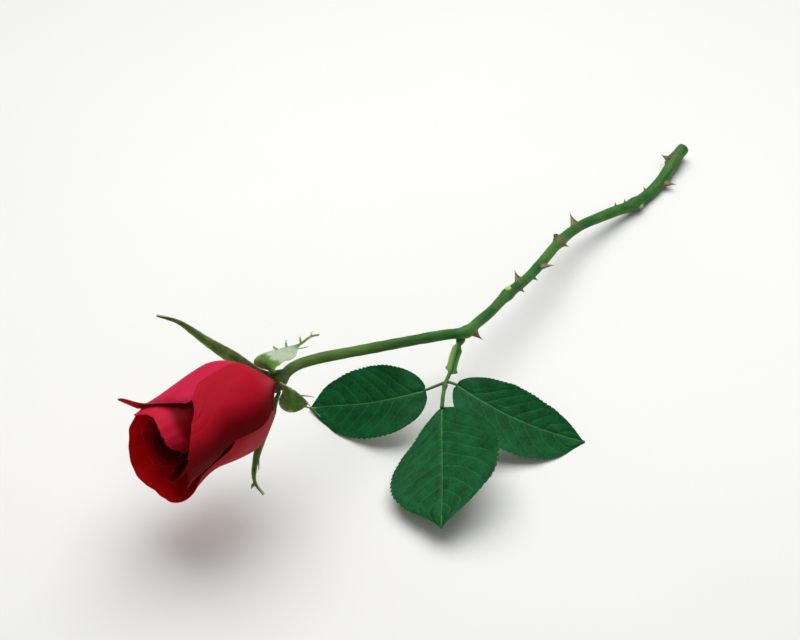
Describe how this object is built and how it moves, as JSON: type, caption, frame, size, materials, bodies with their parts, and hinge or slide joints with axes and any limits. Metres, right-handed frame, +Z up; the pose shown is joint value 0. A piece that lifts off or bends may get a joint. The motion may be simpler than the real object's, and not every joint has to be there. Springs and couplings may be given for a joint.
{
  "type": "cut rose",
  "caption": "Cut red rose lying on its side: half-open bloom on a thorny stem, green sepals and one toothed compound leaf.",
  "frame": {"origin": "middle of the surface the rose rests on, under the middle of its outline", "axes": "+X from the bloom towards the cut end, +Z up, +Y to the left of the stem seen from the bloom"},
  "size_m": [0.33, 0.1256, 0.0706],
  "materials": {
    "petal": "velvety deep red petal, paler pink on its outer face",
    "stem": "smooth green bark with brown marks at the nodes",
    "leaf": "dark green waxy leaf with pale veins",
    "sepal": "green sepal with brown margins, pale and downy inside",
    "prickle": "reddish brown prickle"
  },
  "bodies": {
    "root": {"stem": "stem", "prickle_01": "prickle", "prickle_02": "prickle", "prickle_03": "prickle", "prickle_04": "prickle", "prickle_05": "prickle", "prickle_06": "prickle", "prickle_07": "prickle", "prickle_08": "prickle", "prickle_09": "prickle", "prickle_10": "prickle", "prickle_11": "prickle", "prickle_12": "prickle", "leaf_stalk": "stem", "leaflet_left": "leaf", "leaflet_right": "leaf", "leaflet_end": "leaf", "petal_01": "petal", "petal_02": "petal", "petal_03": "petal", "petal_04": "petal", "petal_05": "petal", "petal_06": "petal", "petal_07": "petal", "petal_08": "petal", "petal_09": "petal", "petal_10": "petal", "petal_11": "petal", "petal_12": "petal", "petal_13": "petal", "petal_14": "petal", "sepal_1": "sepal", "sepal_2": "sepal", "sepal_3": "sepal", "sepal_4": "sepal", "sepal_5": "sepal"}
  },
  "joints": []
}
